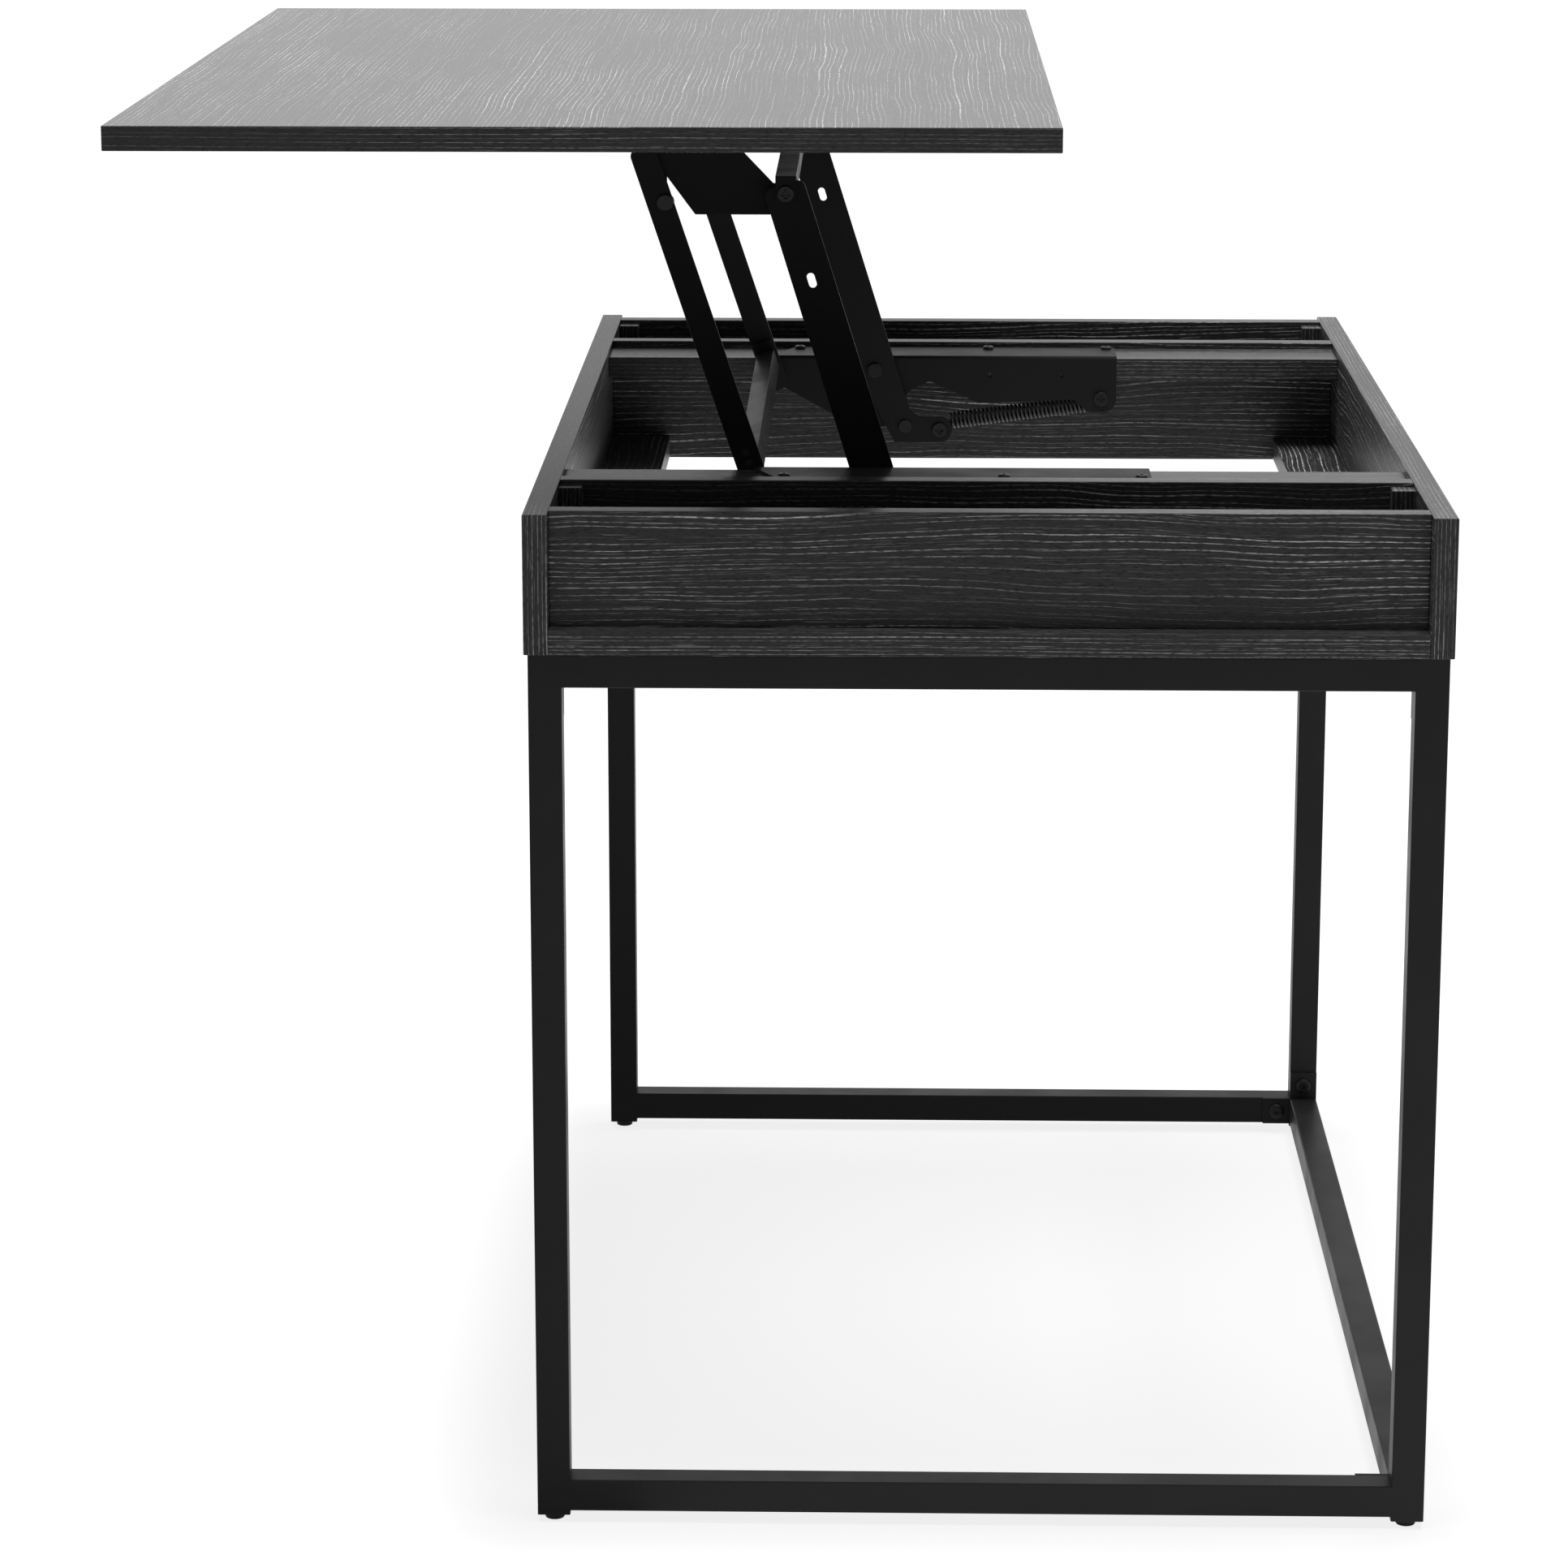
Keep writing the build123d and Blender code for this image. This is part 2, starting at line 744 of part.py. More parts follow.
def lid():
    x = -lid_shift
    board_top = lid_under + lid_thickness
    half = lid_length / 2
    shape = block((x - lid_width / 2, x + lid_width / 2), (-half, half), (lid_under, board_top))
    for px, y in top_screw_points():
        pilot = upright(px, y, (lid_under, lid_under + wood_screw_bite), wood_screw_radius)
        shape -= pilot
        shape -= far(pilot)
    return shape


def top_bracket_span():
    left = upper_narrow.X - top_bracket_front
    right = upper_wide.X - top_bracket_slant_width
    return left, right


def top_screw_points():
    left, right = top_bracket_span()
    y = -top_layer[1] + top_flange_width / 2
    return [(left + (right - left) * share, y) for share in top_screws]


def top_bracket():
    """Plate hanging below the lid between the arms' tops, with a flange under the lid."""
    c, d = upper_wide, upper_narrow
    left, right = top_bracket_span()
    low = c.Z - top_bracket_depth
    ear_right = d.X - top_lobe_radius + top_bracket_ear_width
    corners = [
        (at(left, lid_under), 0),
        (at(right, lid_under), 0),
        (at(right, c.Z + top_bracket_slant_height), top_bracket_shoulder),
        (at(c.X - top_bracket_slant_foot, c.Z + top_lobe_radius), top_bracket_corner),
        (at(c.X, c.Z + top_lobe_radius), 0),
        (at(c.X, low), top_bracket_corner),
        (at(c.X - top_bracket_heel, low), top_bracket_corner),
        (at(ear_right, c.Z + top_bracket_notch), 0),
        (at(ear_right, d.Z), 0),
        (at(d.X - top_lobe_radius, d.Z), 0),
    ]
    face = outline(corners)
    face += Pos(c.X, c.Z) * Circle(top_lobe_radius)
    face += Pos(d.X, d.Z) * Circle(top_lobe_radius)
    hanging = plate(face, top_layer)
    y_range = (-top_layer[0], -top_layer[1] + top_flange_width)
    shape = hanging + block((left, right), y_range, (lid_under - bracket_sheet, lid_under))
    shape -= rod(c, pivot_radius + running_clearance, top_layer)
    shape -= rod(d, pivot_radius, top_layer)
    for x, y in top_screw_points():
        shape -= upright(x, y, (lid_under - bracket_sheet, lid_under), wood_screw_radius)
    return shape


def top_screw(x, y):
    seat = lid_under - bracket_sheet
    head = upright(x, y, (seat - wood_screw_head, seat), wood_screw_head_radius)
    head = fillet(head.edges().group_by(Axis.Z)[0], wood_screw_dome)
    head -= Pos(x, y, seat - wood_screw_head) * cross_slot(wood_screw_head_radius)
    return head + upright(x, y, (seat, lid_under + wood_screw_bite), wood_screw_radius)


def lid_pivot_pin():
    """Fixed flush in the top bracket, with its head outside the narrow arm."""
    seat = narrow_layer[0] + side_clearance
    shank = (seat, top_layer[1])
    return headed_pin(upper_narrow, pivot_head_radius, (seat + pivot_head, seat), pivot_radius, shank)


# Springs, each in a rear half on the bracket's bolt and a front half on the arm's stud


def spring_half(hook_point, other_point):
    """Close coils from the middle of the spring to one end, with a ring hook on that end."""
    axis = (other_point - hook_point).normalized()
    half = (other_point - hook_point).length / 2
    coil = half - spring_hook_reach
    turns = int(coil / spring_pitch)
    wire_at = spring_radius - spring_wire
    profile = Rectangle(spring_wire, coil, align=(Align.MIN, Align.MIN))
    profile = Pos(wire_at - spring_wire, 0) * profile
    for turn in range(turns):
        profile += Pos(wire_at, spring_pitch * (turn + 0.5)) * Circle(spring_wire)
    coils = revolve(Plane.XZ * profile, Axis.Z)
    hook_ring = pivot_radius + hook_clearance + spring_wire
    hook = Pos(0, 0, half) * Rot(X=90) * Torus(hook_ring, spring_wire)
    link_low, link_high = coil - spring_wire, half - hook_ring
    disc = Pos(0, 0, coil - spring_wire / 2) * Cylinder(wire_at, spring_wire)
    link = Pos(0, 0, (link_low + link_high) / 2) * Cylinder(spring_wire, link_high - link_low)
    middle = (hook_point + other_point) * 0.5
    plane = Plane(
        origin=(middle.X, -spring_plane, middle.Z),
        x_dir=(axis.Z, 0, -axis.X),
        z_dir=(-axis.X, 0, -axis.Z),
    )
    return plane.location * (coils + disc + link + hook)


def build():
    os.makedirs("parts", exist_ok=True)
    ends = {"near": lambda shape: shape, "far": far}
    sides = {"front": -1, "rear": 1}

    for side_name, side in sides.items():
        save(side_name + "_side_panel", side_panel(side))
        save(side_name + "_side_bottom", side_bottom(side))
    save("corner_battens", *corner_battens())
    for rail_name, (side, low, upright_tab) in long_rails().items():
        save(rail_name, long_rail(side, low))
    plates = [corner_plate_near(*rail) for rail in long_rails().values()]
    save("corner_plates", *[piece for shape in plates for piece in both_ends(shape)])
    save("frame_bolts", *[piece for p in all_bolt_points() for piece in both_ends(frame_bolt(p))])
    save("box_screws", *[piece for p in box_screw_points() for piece in both_ends(box_screw(*p))])

    single = {
        "apron": end_apron(),
        "bottom": end_bottom(),
        "inner_board": inner_board(),
        "mechanism_rail": mechanism_rail(),
        "end_top_rail": end_rail(box_bottom - tube),
        "end_lower_rail": end_rail(lower_rail_bottom),
        "base_bracket": base_bracket(),
        "wide_arm": wide_arm(),
        "narrow_arm": narrow_arm(),
        "top_bracket": top_bracket(),
    }
    for side_name, side in sides.items():
        single[side_name + "_leg"] = leg(side)
        single[side_name + "_foot"] = foot(side)
    for end_name, placed in ends.items():
        for name, shape in single.items():
            save(end_name + "_" + name, placed(shape))

    save("bracket_screws", *[piece for p in bracket_screw_points() for piece in both_ends(wood_screw(*p))])
    save("wide_arm_pivots", *both_ends(wide_pivot_pin()))
    save("narrow_arm_pivots", *both_ends(narrow_pivot_pin()))
    save("wide_arm_spacers", *both_ends(lower_spacer(lower_wide, wide_layer)))
    save("narrow_arm_spacers", *both_ends(lower_spacer(lower_narrow, narrow_layer)))
    save("spring_rear_bolts", *both_ends(spring_rear_bolt()))
    save("spring_front_studs", *both_ends(spring_front_stud()))
    save("stop_rivets", *both_ends(stop_rivet()))
    save("upper_pivot_bolts", *both_ends(upper_bolt()))
    save("upper_pivot_nuts", *both_ends(upper_nut()))
    save("upper_pivot_spacers", *both_ends(upper_spacer()))
    save("upper_cross_bar", upper_cross_bar())
    save("lower_cross_bar", lower_cross_bar())
    save("cross_bar_screws", *[piece for p in lower_bar_screws() for piece in both_ends(bar_screw(p))])
    save("lid", lid())
    save("top_bracket_screws", *[piece for p in top_screw_points() for piece in both_ends(top_screw(*p))])
    save("lid_pivot_pins", *both_ends(lid_pivot_pin()))
    save("spring_rear_halves", *both_ends(spring_half(rear_bolt, ear_stud)))
    save("spring_front_halves", *both_ends(spring_half(ear_stud, rear_bolt)))


build()
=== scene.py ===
# %% [markdown]
# # A desk-high lift-top table
# The real table is a shallow box of black wood-grain boards on a square-tube frame. Its lid rides on two
# pairs of steel arms, helped by a tension spring at each end. The solid model already holds every piece at
# its real size, so this lesson loads it as it is. It then adds finishes, eased edges, coiled springs, light
# and a camera.

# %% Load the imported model
import bpy
import json
import math
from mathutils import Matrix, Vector

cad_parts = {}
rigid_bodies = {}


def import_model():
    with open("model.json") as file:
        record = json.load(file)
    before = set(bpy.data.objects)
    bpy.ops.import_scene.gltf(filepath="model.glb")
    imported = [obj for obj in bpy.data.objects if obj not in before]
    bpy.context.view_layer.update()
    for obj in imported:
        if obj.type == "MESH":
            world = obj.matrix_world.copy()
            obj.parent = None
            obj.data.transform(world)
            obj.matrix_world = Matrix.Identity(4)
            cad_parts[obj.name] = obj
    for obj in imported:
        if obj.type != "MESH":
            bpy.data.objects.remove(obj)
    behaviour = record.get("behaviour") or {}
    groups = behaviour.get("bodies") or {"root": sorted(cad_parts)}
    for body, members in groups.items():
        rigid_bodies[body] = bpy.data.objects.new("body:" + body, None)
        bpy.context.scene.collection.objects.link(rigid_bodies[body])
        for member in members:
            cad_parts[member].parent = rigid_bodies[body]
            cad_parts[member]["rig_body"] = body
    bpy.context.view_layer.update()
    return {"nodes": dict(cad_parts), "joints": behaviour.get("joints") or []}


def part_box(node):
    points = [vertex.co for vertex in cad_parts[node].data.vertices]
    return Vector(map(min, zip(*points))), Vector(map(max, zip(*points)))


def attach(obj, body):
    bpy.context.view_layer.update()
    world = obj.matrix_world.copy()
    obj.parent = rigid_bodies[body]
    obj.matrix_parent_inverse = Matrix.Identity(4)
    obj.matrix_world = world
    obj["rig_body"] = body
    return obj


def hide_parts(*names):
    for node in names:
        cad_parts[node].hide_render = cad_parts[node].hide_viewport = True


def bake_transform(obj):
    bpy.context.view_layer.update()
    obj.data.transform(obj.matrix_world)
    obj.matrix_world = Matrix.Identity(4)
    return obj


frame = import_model()
nodes = frame["nodes"]


def rounded(box):
    """A box's two corners to a tenth of a millimetre, for printing."""
    return [tuple(round(x, 4) for x in corner) for corner in box]


# %% [markdown]
# ## Node helpers
# Every finish below is a small tree of shader nodes. One helper adds a node, sets its options and either
# types a value into each input or links another node's output to it. That keeps each finish short enough
# to read from top to bottom. A Mix node has sockets for numbers, vectors and colours under the same names,
# so its colour sockets are picked by their index.

# %% Helpers that build shader trees
def add(tree, kind, inputs=None, **options):
    made = tree.nodes.new(kind)
    for name, value in options.items():
        setattr(made, name, value)
    for key, value in (inputs or {}).items():
        if isinstance(value, bpy.types.NodeSocket):
            tree.links.new(value, made.inputs[key])
        else:
            made.inputs[key].default_value = value
    return made


def math_node(tree, operation, *values):
    return add(tree, "ShaderNodeMath", dict(enumerate(values)), operation=operation).outputs[0]


def remap(tree, value, low, high, to_low=0.0, to_high=1.0):
    inputs = {"Value": value, "From Min": low, "From Max": high, "To Min": to_low, "To Max": to_high}
    return add(tree, "ShaderNodeMapRange", inputs, interpolation_type="SMOOTHSTEP").outputs[0]


def noise(tree, vector, scale=1.0, detail=2.0):
    inputs = {"Vector": vector, "Scale": scale, "Detail": detail}
    return add(tree, "ShaderNodeTexNoise", inputs).outputs["Fac"]


def combine(tree, x, y, z=0.0):
    return add(tree, "ShaderNodeCombineXYZ", {"X": x, "Y": y, "Z": z}).outputs[0]


def choose(tree, test, if_true, if_false):
    inputs = {"Factor": test, "A": if_false, "B": if_true}
    return add(tree, "ShaderNodeMix", inputs).outputs["Result"]


def mix_colour(tree, factor, first, second):
    inputs = {0: factor, 6: first, 7: second}
    return add(tree, "ShaderNodeMix", inputs, data_type="RGBA").outputs[2]


def new_group(name, inputs, outputs):
    """A shader group with named value sockets, and its input and output nodes."""
    group = bpy.data.node_groups.new(name, "ShaderNodeTree")
    for title in inputs:
        group.interface.new_socket(title, in_out="INPUT", socket_type="NodeSocketFloat")
    for title in outputs:
        group.interface.new_socket(title, in_out="OUTPUT", socket_type="NodeSocketFloat")
    return group, group.nodes.new("NodeGroupInput"), group.nodes.new("NodeGroupOutput")


def new_material(name):
    """A material whose node tree holds only a Principled shader and its output."""
    made = bpy.data.materials.new(name)
    made.use_nodes = True
    return made, made.node_tree, made.node_tree.nodes["Principled BSDF"]


def grey(level):
    return (level, level, level, 1.0)


print("helpers ready")

# %% [markdown]
# ## Brushed ash grain
# The boards wear a black foil printed and pressed like brushed ash: near-black wood with thin pale pores
# that run along the grain, swing round in waves and break into dashes. Two coordinates are enough to draw
# it: the distance along the grain and the distance across it. Noise of four sizes bends the across distance
# until the lines pinch into long eyes, a ping-pong curve turns it into thin lines, and stretched noise
# breaks the lines up, beads them and fades them in slow zones. As a group, it serves boards that run in any
# direction, and a seed keeps two boards from wearing the same figure.

# %% Choose the figures of the grain
GRAIN_INPUTS = ("Along", "Across", "Seed", "Spacing", "Swing", "Flecks")
# Each bend: waves per metre along and across the grain, shift of the seed, share of the board's swing
BENDS = (
    (2.0, 7.0, 0.0, 1.0),
    (5.0, 20.0, 3.0, 0.75),
    (17.0, 30.0, 6.0, 0.12),
    (170.0, 240.0, 12.0, 0.022),
)
BEND_DETAIL = 1.0
DRIFTS_PER_RING = 0.6
RINGS_PER_DRIFT = 1.6
LONG_PORES = {"width": 0.12, "breaks_per_metre": 6.0, "low": 0.32, "high": 0.62}
SHORT_PORES = {"width": 0.15, "breaks_per_metre": 40.0, "low": 0.50, "high": 0.66}
SHORT_PORES_PER_RING = 2.7
PORE_DETAIL = 3.0
# Beads and zones: waves per metre along and across, shift of the seed, detail, then noise and shown levels
BEADS = (210.0, 500.0, 9.0, 2.0)
BEAD_LEVELS = (0.34, 0.62, 0.2, 1.0)
ZONES = (4.0, 13.0, 15.0, 1.0)
ZONE_LEVELS = (0.36, 0.62, 0.4, 1.0)
THREADS_ALONG = 220.0
THREADS_ACROSS = 1500.0
print("bends:", len(BENDS))


# %% Build the grain group
def build_grain_group():
    group, source, result = new_group("brushed_ash_grain", GRAIN_INPUTS, ("Line", "Fibre"))
    along, across, seed, spacing, swing, flecks = (source.outputs[title] for title in GRAIN_INPUTS)

    def times(value, factor):
        return math_node(group, "MULTIPLY", value, factor)

    def plus(first, second):
        return math_node(group, "ADD", first, second)

    def figure(waves_along, waves_across, shift, detail):
        place = combine(group, times(along, waves_along), times(across, waves_across), plus(seed, shift))
        return noise(group, place, detail=detail)

    def bend(waves_along, waves_across, shift, share):
        wave = figure(waves_along, waves_across, shift, BEND_DETAIL)
        return times(math_node(group, "SUBTRACT", wave, 0.5), times(swing, share))

    def pores(rings, width, breaks_per_metre, low, high):
        line = remap(group, math_node(group, "PINGPONG", rings, 0.5), 0.0, width, 1.0, 0.0)
        place = combine(group, times(along, breaks_per_metre), rings, seed)
        return times(line, remap(group, noise(group, place, detail=PORE_DETAIL), low, high))

    bent = across
    for wave in BENDS:
        bent = plus(bent, bend(*wave))
    ring = math_node(group, "DIVIDE", bent, spacing)
    drift = noise(group, combine(group, times(ring, DRIFTS_PER_RING), seed), detail=BEND_DETAIL)
    ring = plus(ring, times(drift, RINGS_PER_DRIFT))
    beads = remap(group, figure(*BEADS), *BEAD_LEVELS)
    zones = remap(group, figure(*ZONES), *ZONE_LEVELS)
    long_pores = times(pores(ring, **LONG_PORES), beads)
    short_pores = times(pores(times(ring, SHORT_PORES_PER_RING), **SHORT_PORES), flecks)
    line = times(math_node(group, "MAXIMUM", long_pores, short_pores), zones)
    threads = combine(group, times(along, THREADS_ALONG), times(bent, THREADS_ACROSS), seed)
    group.links.new(line, result.inputs["Line"])
    group.links.new(noise(group, threads), result.inputs["Fibre"])
    return group


grain_group = build_grain_group()
print("grain group nodes:", len(grain_group.nodes))

# %% [markdown]
# ## Powder coat
# The tube frame and the sheet-steel mechanism are painted with black powder, which melts into a skin with a
# fine orange peel and a slightly patchy sheen. A group gives the peel's height and the patchiness, and each
# material sets its own peel size.

# %% Build the coat group
PATCH_DETAIL = 3.0


def build_coat_group():
    group, source, result = new_group("powder_coat", ("Peel Scale", "Patch Scale"), ("Peel", "Patch"))
    place = add(group, "ShaderNodeTexCoord").outputs["Object"]
    peel = noise(group, place, source.outputs["Peel Scale"])
    patch = noise(group, place, source.outputs["Patch Scale"], PATCH_DETAIL)
    group.links.new(peel, result.inputs["Peel"])
    group.links.new(patch, result.inputs["Patch"])
    return group


coat_group = build_coat_group()
print("coat group nodes:", len(coat_group.nodes))

# %% [markdown]
# ## Board finishes
# Foil covers a board's two broad faces with its grain along the board. Its four edges wear a narrow band with
# a closer, straighter and fainter grain that runs round the board. The face's normal tells which is which,
# so one material dresses a whole board. Pores are pale and pressed a little into the foil, and fine dark
# threads change the foil's tone and sheen between them.

# %% Make the board materials
FOIL_BLACK = grey(0.008)
FOIL_BLACK_LIGHT = grey(0.037)
FOIL_GLOSS = 0.15
FOIL_ROUGH = (0.30, 0.35)
LID_ROUGH = (0.21, 0.25)
FOIL_PORE = 0.90
LID_PORE = 0.75
PORE_PRESS = 0.08
PORE_DEPTH = 0.0003
FACE_FLECKS = 0.35
EDGE_FLECKS = 0.6
EDGE_SPACING = 0.0030
EDGE_SWING = 0.004
EDGE_SHOW = 0.75
THREAD_LEVELS = (0.32, 0.48)
SEEDS_PER_METRE = 40.0
SQUARE_ON = 0.7


def board_finish(name, along_axis, face_axis, spacing, swing, rough=FOIL_ROUGH, pore=FOIL_PORE):
    """A board whose grain runs along one axis and whose broad faces look along another."""
    material, tree, shader = new_material(name)
    coordinates = add(tree, "ShaderNodeTexCoord").outputs
    place = add(tree, "ShaderNodeSeparateXYZ", {0: coordinates["Object"]}).outputs
    normal = add(tree, "ShaderNodeSeparateXYZ", {0: coordinates["Normal"]}).outputs
    third_axis = next(axis for axis in "XYZ" if axis not in (along_axis, face_axis))

    def faces(axis):
        return math_node(tree, "GREATER_THAN", math_node(tree, "ABSOLUTE", normal[axis]), SQUARE_ON)

    broad = faces(face_axis)
    seed = math_node(tree, "MULTIPLY", place[face_axis], SEEDS_PER_METRE)
    drive = {
        "Along": choose(tree, faces(along_axis), place[third_axis], place[along_axis]),
        "Across": choose(tree, broad, place[third_axis], place[face_axis]),
        "Seed": choose(tree, broad, seed, 0.0),
        "Spacing": choose(tree, broad, spacing, EDGE_SPACING),
        "Swing": choose(tree, broad, swing, EDGE_SWING),
        "Flecks": choose(tree, broad, FACE_FLECKS, EDGE_FLECKS),
    }
    grain = add(tree, "ShaderNodeGroup", drive, node_tree=grain_group).outputs
    line = math_node(tree, "MULTIPLY", grain["Line"], choose(tree, broad, 1.0, EDGE_SHOW))
    thread = remap(tree, grain["Fibre"], *THREAD_LEVELS)
    wood = mix_colour(tree, thread, FOIL_BLACK, FOIL_BLACK_LIGHT)
    tree.links.new(mix_colour(tree, line, wood, grey(pore)), shader.inputs["Base Color"])
    tree.links.new(remap(tree, thread, 0.0, 1.0, *rough), shader.inputs["Roughness"])
    shader.inputs["Specular IOR Level"].default_value = FOIL_GLOSS
    height = math_node(tree, "SUBTRACT", 1.0, line)
    press = {"Strength": PORE_PRESS, "Distance": PORE_DEPTH, "Height": height}
    tree.links.new(add(tree, "ShaderNodeBump", press).outputs[0], shader.inputs["Normal"])
    return material


foil_apron = board_finish("foil_apron", "X", "Y", spacing=0.0042, swing=0.024)
foil_rail = board_finish("foil_rail", "X", "Z", spacing=0.0042, swing=0.020)
foil_panel = board_finish("foil_panel", "Y", "X", spacing=0.0042, swing=0.024)
foil_side_bottom = board_finish("foil_side_bottom", "Y", "Z", spacing=0.0042, swing=0.020)
foil_lid = board_finish("foil_lid", "Y", "Z", spacing=0.0034, swing=0.013, rough=LID_ROUGH, pore=LID_PORE)
foil_batten = board_finish("foil_batten", "Z", "X", spacing=0.0040, swing=0.008)
print("board finishes:", [m.name for m in bpy.data.materials if m.name.startswith("foil")])

# %% [markdown]
# ## Painted steel, fasteners, springs and feet
# One function makes every coated piece: the coat group's patchiness shifts its tone and roughness a little,
# and its peel goes to a bump. Only the numbers differ: the frame is a little darker than the mechanism and
# reflects more, and the fasteners are darker and smoother than both. Each peel is given by its lumps per
# metre and its depth.

# %% Make the metal and plastic materials
PATCHES_PER_METRE = 18.0
PATCH_LEVELS = (0.3, 0.7)
PEEL_STRENGTH = 0.2


def coated(name, tone, gloss, rough, peel, metal=0.0):
    material, tree, shader = new_material(name)
    lumps_per_metre, peel_depth = peel
    scales = {"Peel Scale": lumps_per_metre, "Patch Scale": PATCHES_PER_METRE}
    coat = add(tree, "ShaderNodeGroup", scales, node_tree=coat_group).outputs
    dark, light = (grey(level) for level in tone)
    tree.links.new(mix_colour(tree, coat["Patch"], dark, light), shader.inputs["Base Color"])
    tree.links.new(remap(tree, coat["Patch"], *PATCH_LEVELS, *rough), shader.inputs["Roughness"])
    shader.inputs["Metallic"].default_value = metal
    shader.inputs["Specular IOR Level"].default_value = gloss
    lumps = {"Strength": PEEL_STRENGTH, "Distance": peel_depth, "Height": coat["Peel"]}
    tree.links.new(add(tree, "ShaderNodeBump", lumps).outputs[0], shader.inputs["Normal"])
    return material


frame_coat = coated(
    "frame_powder_coat", tone=(0.017, 0.025), gloss=0.08, rough=(0.36, 0.46), peel=(900.0, 0.0002)
)
mechanism_coat = coated(
    "mechanism_paint", tone=(0.020, 0.027), gloss=0.02, rough=(0.32, 0.42), peel=(1400.0, 0.0001)
)
fastener_black = coated(
    "black_fastener", tone=(0.012, 0.020), gloss=0.14, rough=(0.26, 0.36), peel=(2500.0, 0.00006)
)
pivot_black = coated(
    "pivot_black", tone=(0.010, 0.016), gloss=0.16, rough=(0.24, 0.32), peel=(2500.0, 0.00006)
)
spring_wire_coat = coated(
    "spring_wire", tone=(0.014, 0.022), gloss=0.45, rough=(0.22, 0.32), peel=(2500.0, 0.00005), metal=0.1
)
foot_plastic = coated(
    "foot_plastic", tone=(0.012, 0.018), gloss=0.14, rough=(0.45, 0.55), peel=(1800.0, 0.0001)
)
print("materials:", len(bpy.data.materials))

# %% [markdown]
# ## Dress the solid pieces
# A node's finish follows from what it is, so its name picks the material. The first row with a word that the
# name holds wins, which is why fasteners come before the pieces that they are named after.

# %% Give every node its finish
FINISHES = (
    (("spring_front_halves", "spring_rear_halves"), spring_wire_coat),
    (("foot",), foot_plastic),
    (("rivet", "stud", "pin", "pivot", "spacer"), pivot_black),
    (("screw", "bolt"), fastener_black),
    (("bracket", "arm", "cross_bar"), mechanism_coat),
    (("apron", "inner_board"), foil_apron),
    (("mechanism_rail", "near_bottom", "far_bottom"), foil_rail),
    (("lid",), foil_lid),
    (("side_panel",), foil_panel),
    (("side_bottom",), foil_side_bottom),
    (("batten",), foil_batten),
    (("leg", "rail", "corner_plate"), frame_coat),
)


def finish_for(name):
    for words, material in FINISHES:
        if any(word in name for word in words):
            return material
    raise ValueError(f"no finish for {name}")


for name, piece in nodes.items():
    piece.data.materials.clear()
    piece.data.materials.append(finish_for(name))
print("dressed:", len(nodes))

# %% [markdown]
# ## Which edges to ease
# No edge of the real table is a knife edge. The foil wraps over a small round along each board, the sheet
# steel is deburred before its paint rounds it further, and pins and bolts have rounded heads. Such a round
# catches a thin line of light, so it has to be a real shape. Not every sharp edge gets one. A board's short
# edges belong to the screw holes in it, and so do the narrow chains of edges on sheet steel. A pin is
# rounded at its two ends only, not at the seat under its head.

# %% Pick the edges of boards, sheet steel and pins
HOLE_EDGE = 0.004
HOLE_WIDTH = 0.016
SAME_PLACE = 0.00002


def long_edges(mesh):
    places = [vertex.co for vertex in mesh.vertices]
    return [(places[e.vertices[0]] - places[e.vertices[1]]).length >= HOLE_EDGE for e in mesh.edges]


def outline_edges(mesh):
    """Selected edges whose chain is wider than a hole."""
    chains = {}
    for edge in mesh.edges:
        if edge.select:
            first, second = (chains.get(corner, [corner]) for corner in edge.vertices)
            joined = first if first is second else first + second
            chains.update((corner, joined) for corner in joined)

    def width(chain):
        places = [mesh.vertices[corner].co for corner in chain]
        return max(max(values) - min(values) for values in zip(*places))

    return [edge.select and width(chains[edge.vertices[0]]) > HOLE_WIDTH for edge in mesh.edges]


def end_edges(mesh):
    """Edges in the two planes across Y where the pins of a mirrored pair begin and end."""
    reach = [abs(vertex.co.y) for vertex in mesh.vertices]
    ends = [[abs(r - end) < SAME_PLACE for r in reach] for end in (min(reach), max(reach))]
    return [any(flags[e.vertices[0]] and flags[e.vertices[1]] for flags in ends) for e in mesh.edges]


print("edge pickers ready")

# %% [markdown]
# ## Eased edges
# The solid nodes stay as they are, so a copy of each piece gets the rounds. A solid's mesh is loose
# triangles: the copy's points are merged, its flat triangles are joined, and the picked edges are bevelled.
# Bevel's guard against overlaps is off for pins, because it would stop at the small cross in their heads,
# where there is room enough. The copy stands for the solid piece and rides on its body.

# %% Ease the boards, the sheet steel and the pins
BOARD_ENDINGS = ("_panel", "_apron", "_inner_board", "_bottom", "_mechanism_rail", "_battens", "lid")
SHEET_ENDINGS = ("_arm", "_bracket", "_cross_bar")
PIN_ENDINGS = ("_studs", "_rear_bolts", "_rivets", "_pivots", "_pins", "_pivot_bolts")
BOARD_ROUND = 0.0007
SHEET_ROUND = 0.0003
PIN_ROUND = 0.0006
MERGE_REACH = 0.000002
FLAT_ANGLE = math.radians(0.5)
SHARP_ANGLE = math.radians(40.0)


